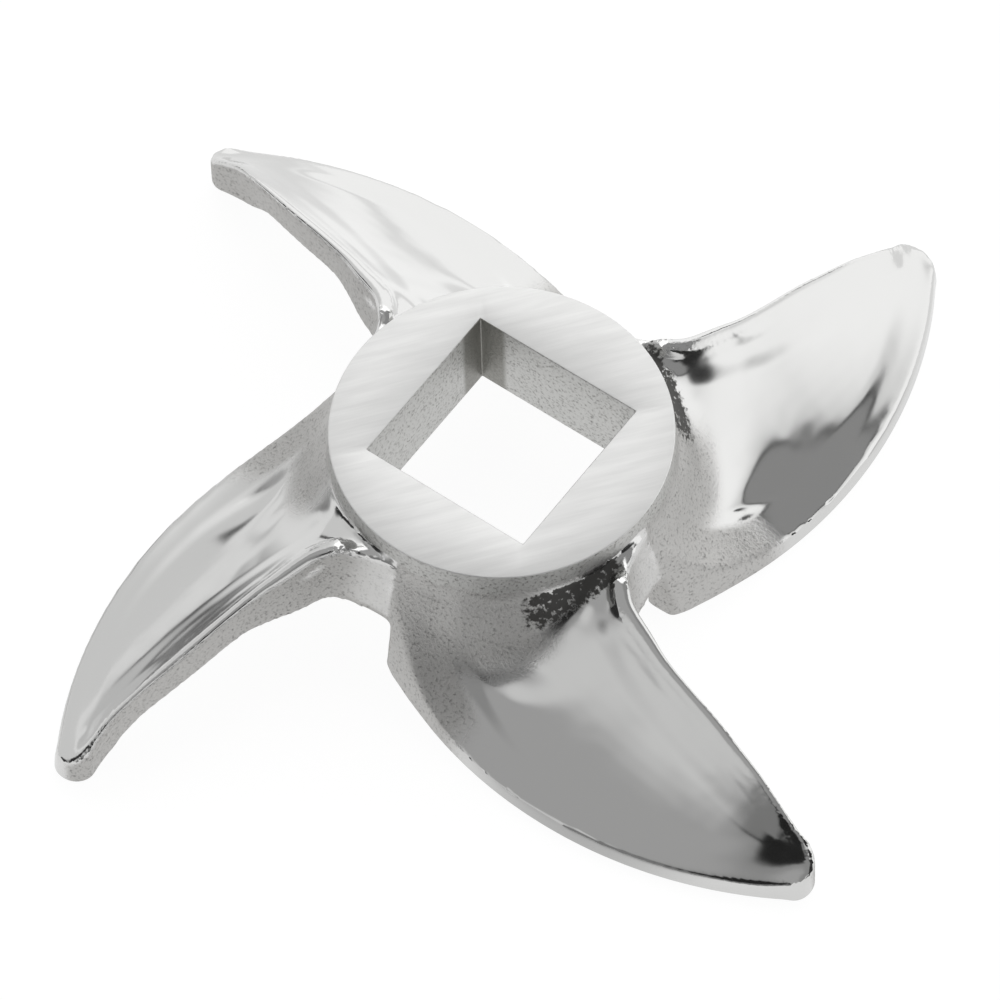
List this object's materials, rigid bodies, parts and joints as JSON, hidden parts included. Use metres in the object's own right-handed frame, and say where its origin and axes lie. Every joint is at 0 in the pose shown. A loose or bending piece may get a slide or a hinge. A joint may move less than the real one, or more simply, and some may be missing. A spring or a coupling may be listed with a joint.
{
  "type": "meat grinder knife",
  "caption": "Cast cutter with swept, dished arms round a hub with a square drive hole, for a screw-fed meat grinder.",
  "frame": {"origin": "on the drive axis, in the plane of the cutting lands, which is the bottom of the bounding box", "axes": "+Z along the drive axis, from the cutting lands towards the hub's ground face; X and Y square to the flats of the drive hole"},
  "size_m": [0.0724, 0.0724, 0.0118],
  "materials": {
    "cast_steel": "cast steel, satin, with the hub's face and the cutting lands ground"
  },
  "bodies": {
    "root": {"grinder_knife": "cast_steel"}
  },
  "joints": []
}
